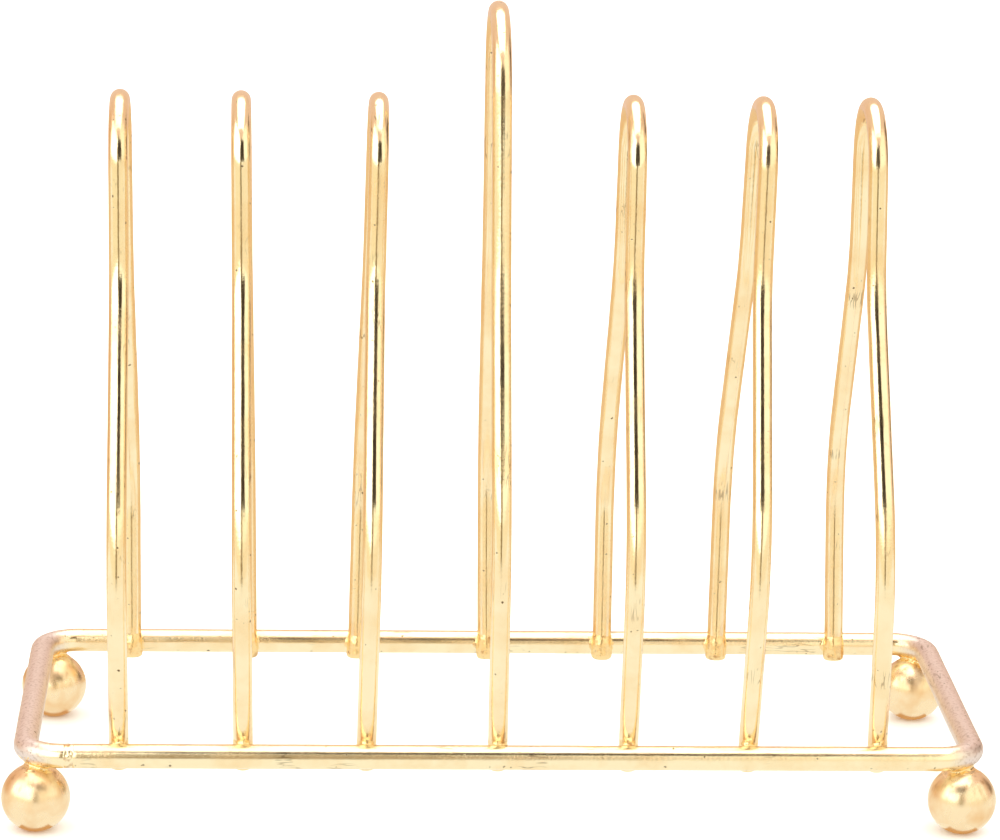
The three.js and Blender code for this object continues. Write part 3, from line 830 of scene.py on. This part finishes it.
for end, alongX in (("left", -1), ("right", 1)):
    for place, alongY in (("front", -1), ("back", 1)):
        low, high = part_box(f"ball_foot_{place}_{end}")
        centre = (low + high) / 2
        seed = 7 * alongX + 3 * alongY  # a different one for each corner
        foot = turnedBall(f"ballFoot{place.title()}{end.title()}", centre, seed)
        keepPiece(foot, "plated_ball", f"ball_foot_{place}_{end}")
        bendX = alongX * (railX - frameSizes["cornerRadius"])
        bendY = alongY * (railY - frameSizes["cornerRadius"])
        neck = growPiece(f"fillerBall{place.title()}{end.title()}", neckFillerTree, {
            **asInputs(neckFiller),
            "Centre": (centre.x, centre.y, high.z), "Seed": seeds["balls"] + seed,
            "Ball Point": centre[:], "Ball Radius": ball["diameter"] / 2,
            "Bend Point": (bendX, bendY, railZ), "Bend Radius": frameSizes["cornerRadius"],
            "Bend Wire Radius": wires["frameWire"] / 2, "Material": fillerMetal,
        })
        keepPiece(neck, "filler_metal", f"braze_foot_{place}_{end}")
print("ball feet set")

# Weld that closes the frame's wire
seamWeld = {
    "reach": 2.76 * mm,
    "fillet": 0.0,  # there is only one wire, so nothing to blend
    "lump": 0.4 * mm,
    "lumpSize": 0.8 * mm,
    "raise": -0.03 * mm,
    "grid": 56,
}
weld = growPiece("fillerFrameSeam", seamFillerTree, {
    **asInputs(seamWeld), **railInputs(-1),
    "Centre": (seamX, -railY, railZ), "Seed": seeds["weld"], "Material": seamMetal,
})
keepPiece(weld, "filler_metal", "frame_seam_weld")
print("seam welded")

# Bearings are degrees from straight in front of the rack, positive to its right; heights are degrees
# above the table. Cards are seen by reflections only, so that other views keep a clear background.
studio = {
    "floorColour": "#F7F5F1",
    "floorRoughness": 0.9,
    "floorSheen": 0.1,
    "floorHalf": 4,  # metres
    "roomColour": "#EBCAB6",  # the pale rose wall behind and beside
    "roomStrength": 1.05,
    "backdropStrength": 1.8,  # of the plain white that is seen, and that lights what isn't a mirror
    "cards": [
        # name, bearing, height, distance, width, tall, colour, strength
        ("leftWindow", -50, 22, 1.5, 2.5, 1.8, "#FFFDF4", 2.1),
        ("rightSheet", 50, 21, 1.5, 2.5, 1.8, "#FFF8E2", 1.25),
        ("tripodColumn", -4, 4, 0.8, 0.24, 0.9, "#9A8158", 0.95),
        ("leftSill", -52, -4, 1.42, 2.6, 0.6, "#FFEFCC", 1.0),
        ("rightSill", 52, -4, 1.42, 2.6, 0.6, "#FFF0D2", 1.0),
        ("farWall", 0, -11, 2.6, 6.0, 2.1, "#FFF8E4", 1.08),
        ("doorway", 121, 10, 1.6, 0.55, 0.7, "#5A4836", 1.0),
        ("woodPanel", -119, 6, 1.6, 0.7, 0.8, "#D9AE86", 1.1),
    ],
    "cameraBody": (0.02, -0.215, 0.255, 0.2, 0.18, "#3A2C20", 1.0),  # middle, width, height, then as above
    "level": [
        # name, middle, width, depth, colour, strength; the tables are what the wires see of it
        ("overheadSheet", (0, 0.32, 1.25), 1.3, 1.75, "#FFFDF6", 2.3),
        ("tableInReflections", (0, -0.14, -1 * mm), 3.6, 0.42, "#FFFAEE", 1.04),
        ("tableInReflections", (0, 0.32, -1 * mm), 3.6, 0.5, "#F0CEA6", 1.0),
    ],
    "contactShade": (8 * mm, -0.5 * mm, "#D9A670", 1.0),  # width and height of the shade each ball sees
}


# a glowing four-sided card: its middle, and from there to the middles of two of its edges
def glowCard(name, colour, strength, middle, aside, onward):
    spans = [(-1, -1), (1, -1), (1, 1), (-1, 1)]
    mesh = bpy.data.meshes.new(name)
    mesh.from_pydata([(middle + s * aside + t * onward)[:] for s, t in spans], [], [(0, 1, 2, 3)])
    card = bpy.data.objects.new(name, mesh)
    scene.collection.objects.link(card)
    paint = bpy.data.materials.new(name + "Paint")
    paint.use_nodes = True
    paint.node_tree.nodes.clear()
    glow = addNode(paint.node_tree, "ShaderNodeEmission", {
        "Color": linearColour(colour), "Strength": strength})
    addNode(paint.node_tree, "ShaderNodeOutputMaterial", {"Surface": glow})
    mesh.materials.append(paint)
    card.visible_camera = False
    card.visible_diffuse = False
    card.visible_shadow = False
    return card


aim = Vector((0, 0, (cadLow.z + cadHigh.z) / 2))
for name, bearing, height, distance, width, tall, colour, strength in studio["cards"]:
    turn, tip = math.radians(bearing), math.radians(height)
    away = Vector((math.sin(turn) * math.cos(tip), -math.cos(turn) * math.cos(tip), math.sin(tip)))
    sideways = Vector((math.cos(turn), math.sin(turn), 0))
    upwards = away.cross(sideways)
    glowCard(name, colour, strength, aim + away * distance, sideways * width / 2, upwards * tall / 2)
rightward, backward, upward, width, tall, colour, strength = studio["cameraBody"]
glowCard("cameraBody", colour, strength, Vector((rightward, backward, upward)),
         Vector((width / 2, 0, 0)), Vector((0, 0, tall / 2)))
for name, middle, width, depth, colour, strength in studio["level"]:
    card = glowCard(name, colour, strength, Vector(middle),
                    Vector((width / 2, 0, 0)), Vector((0, depth / 2, 0)))
    if name == "overheadSheet":  # the only card that lights the floor
        card.visible_diffuse = True
        card.visible_shadow = True

width, height, colour, strength = studio["contactShade"]
for node in ("front_left", "front_right", "back_left", "back_right"):
    low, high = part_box("ball_foot_" + node)
    glowCard("contactShade", colour, strength, Vector(((low.x + high.x) / 2, (low.y + high.y) / 2, height)),
             Vector((width / 2, 0, 0)), Vector((0, width / 2, 0)))

floorMesh = bpy.data.meshes.new("paleFloor")
half = studio["floorHalf"]
floorMesh.from_pydata([(-half, -half, 0), (half, -half, 0), (half, half, 0), (-half, half, 0)],
                      [], [(0, 1, 2, 3)])
floor = bpy.data.objects.new("paleFloor", floorMesh)
scene.collection.objects.link(floor)
floorPaint = bpy.data.materials.new("mattWhiteCard")
floorPaint.use_nodes = True
floorShader = floorPaint.node_tree.nodes["Principled BSDF"]
floorShader.inputs["Base Color"].default_value = linearColour(studio["floorColour"])
floorShader.inputs["Roughness"].default_value = studio["floorRoughness"]
floorShader.inputs["Specular IOR Level"].default_value = studio["floorSheen"]
floorMesh.materials.append(floorPaint)
floor.visible_glossy = False

# the room glows evenly, and is plain white where it shows past the floor
world = bpy.data.worlds.new("paleRoom")
world.use_nodes = True
world.node_tree.nodes.clear()
lightPath = addNode(world.node_tree, "ShaderNodeLightPath")
room = addNode(world.node_tree, "ShaderNodeBackground", {
    "Color": linearColour(studio["roomColour"]), "Strength": studio["roomStrength"]})
white = addNode(world.node_tree, "ShaderNodeBackground", {
    "Color": (1, 1, 1, 1), "Strength": studio["backdropStrength"]})
notGlossy = addNode(world.node_tree, "ShaderNodeMath", {
    0: 1.0, 1: lightPath.outputs["Is Glossy Ray"]}, operation="SUBTRACT")
chosen = addNode(world.node_tree, "ShaderNodeMixShader", {0: notGlossy, 1: room, 2: white})
addNode(world.node_tree, "ShaderNodeOutputWorld", {"Surface": chosen})
scene.world = world
scene.view_settings.view_transform = "Standard"
print("studio lit")

# The camera stands in front and a little above, and looks down and slightly right; angles in degrees
view = {
    "lens": 157.4,
    "sensor": 36.0,
    "place": (-0.0465, -0.8772, 0.3037),
    "pitchDown": 14.49,
    "yawRight": 3.04,
    "roll": 1.2,
}
pitch, yaw, roll = (math.radians(view[k]) for k in ("pitchDown", "yawRight", "roll"))
forward = Vector((math.sin(yaw) * math.cos(pitch), math.cos(yaw) * math.cos(pitch), -math.sin(pitch)))
level = Vector((math.cos(yaw), -math.sin(yaw), 0))
upright = level.cross(forward)
right = level * math.cos(roll) + upright * math.sin(roll)
above = upright * math.cos(roll) - level * math.sin(roll)
camera = bpy.data.objects.new("camera", bpy.data.cameras.new("camera"))
camera.data.lens = view["lens"]
camera.data.sensor_width = view["sensor"]
turn = Matrix((right, above, -forward)).transposed()
camera.matrix_world = Matrix.Translation(view["place"]) @ turn.to_4x4()
scene.collection.objects.link(camera)
scene.camera = camera
print("camera set")
